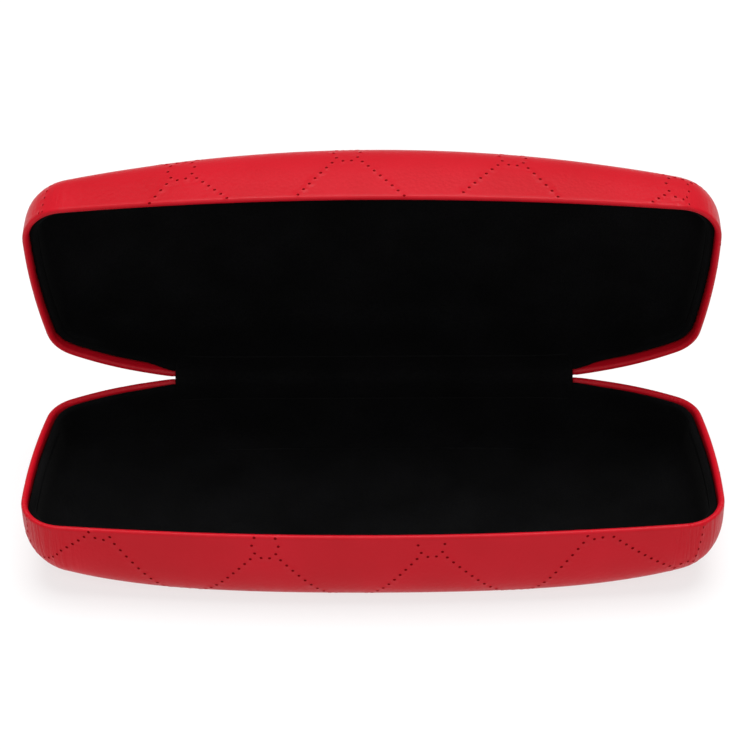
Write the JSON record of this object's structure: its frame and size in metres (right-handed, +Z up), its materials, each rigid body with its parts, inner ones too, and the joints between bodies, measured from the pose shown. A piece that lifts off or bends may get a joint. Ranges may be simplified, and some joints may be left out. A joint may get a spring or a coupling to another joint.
{
  "type": "eyeglasses case",
  "caption": "Hard clamshell eyeglasses case, open: leatherette over steel half shells, black flock lining, hinged lid.",
  "frame": {"origin": "middle of the flat underside of the base, on the surface it stands on, midway along the length and midway between the base's front and back edges", "axes": "+X along the length, +Y from the front edge to the hinged back edge, +Z up"},
  "size_m": [0.165, 0.0816, 0.0837],
  "materials": {
    "leatherette": "red pebble-grained leatherette with a pricked dot pattern",
    "flock": "black short-pile flock",
    "sheet_steel": "plain stamped sheet steel",
    "spring_steel": "blued spring steel",
    "rivet_steel": "zinc-plated steel"
  },
  "bodies": {
    "base": {"base_cover": "leatherette", "base_shell": "sheet_steel", "base_lining": "flock", "hinge_leaf_base": "sheet_steel", "hinge_pin": "rivet_steel", "snap_spring_1": "spring_steel", "snap_spring_2": "spring_steel", "base_rivet_1": "rivet_steel", "base_rivet_2": "rivet_steel", "base_rivet_3": "rivet_steel", "base_rivet_4": "rivet_steel", "hinge_lining": "flock", "spine_cover": "leatherette"},
    "lid": {"lid_cover": "leatherette", "lid_shell": "sheet_steel", "lid_lining": "flock", "hinge_leaf_lid": "sheet_steel", "lid_rivet_1": "rivet_steel", "lid_rivet_2": "rivet_steel", "lid_rivet_3": "rivet_steel", "lid_rivet_4": "rivet_steel"}
  },
  "joints": [
    {"name": "lid_hinge", "type": "hinge", "parent": "base", "child": "lid", "pos_m": [0, 0.0302, 0.0216], "axis": [1, 0, 0], "range_deg": [0, 80], "deforming": ["hinge_lining", "spine_cover"]}
  ]
}
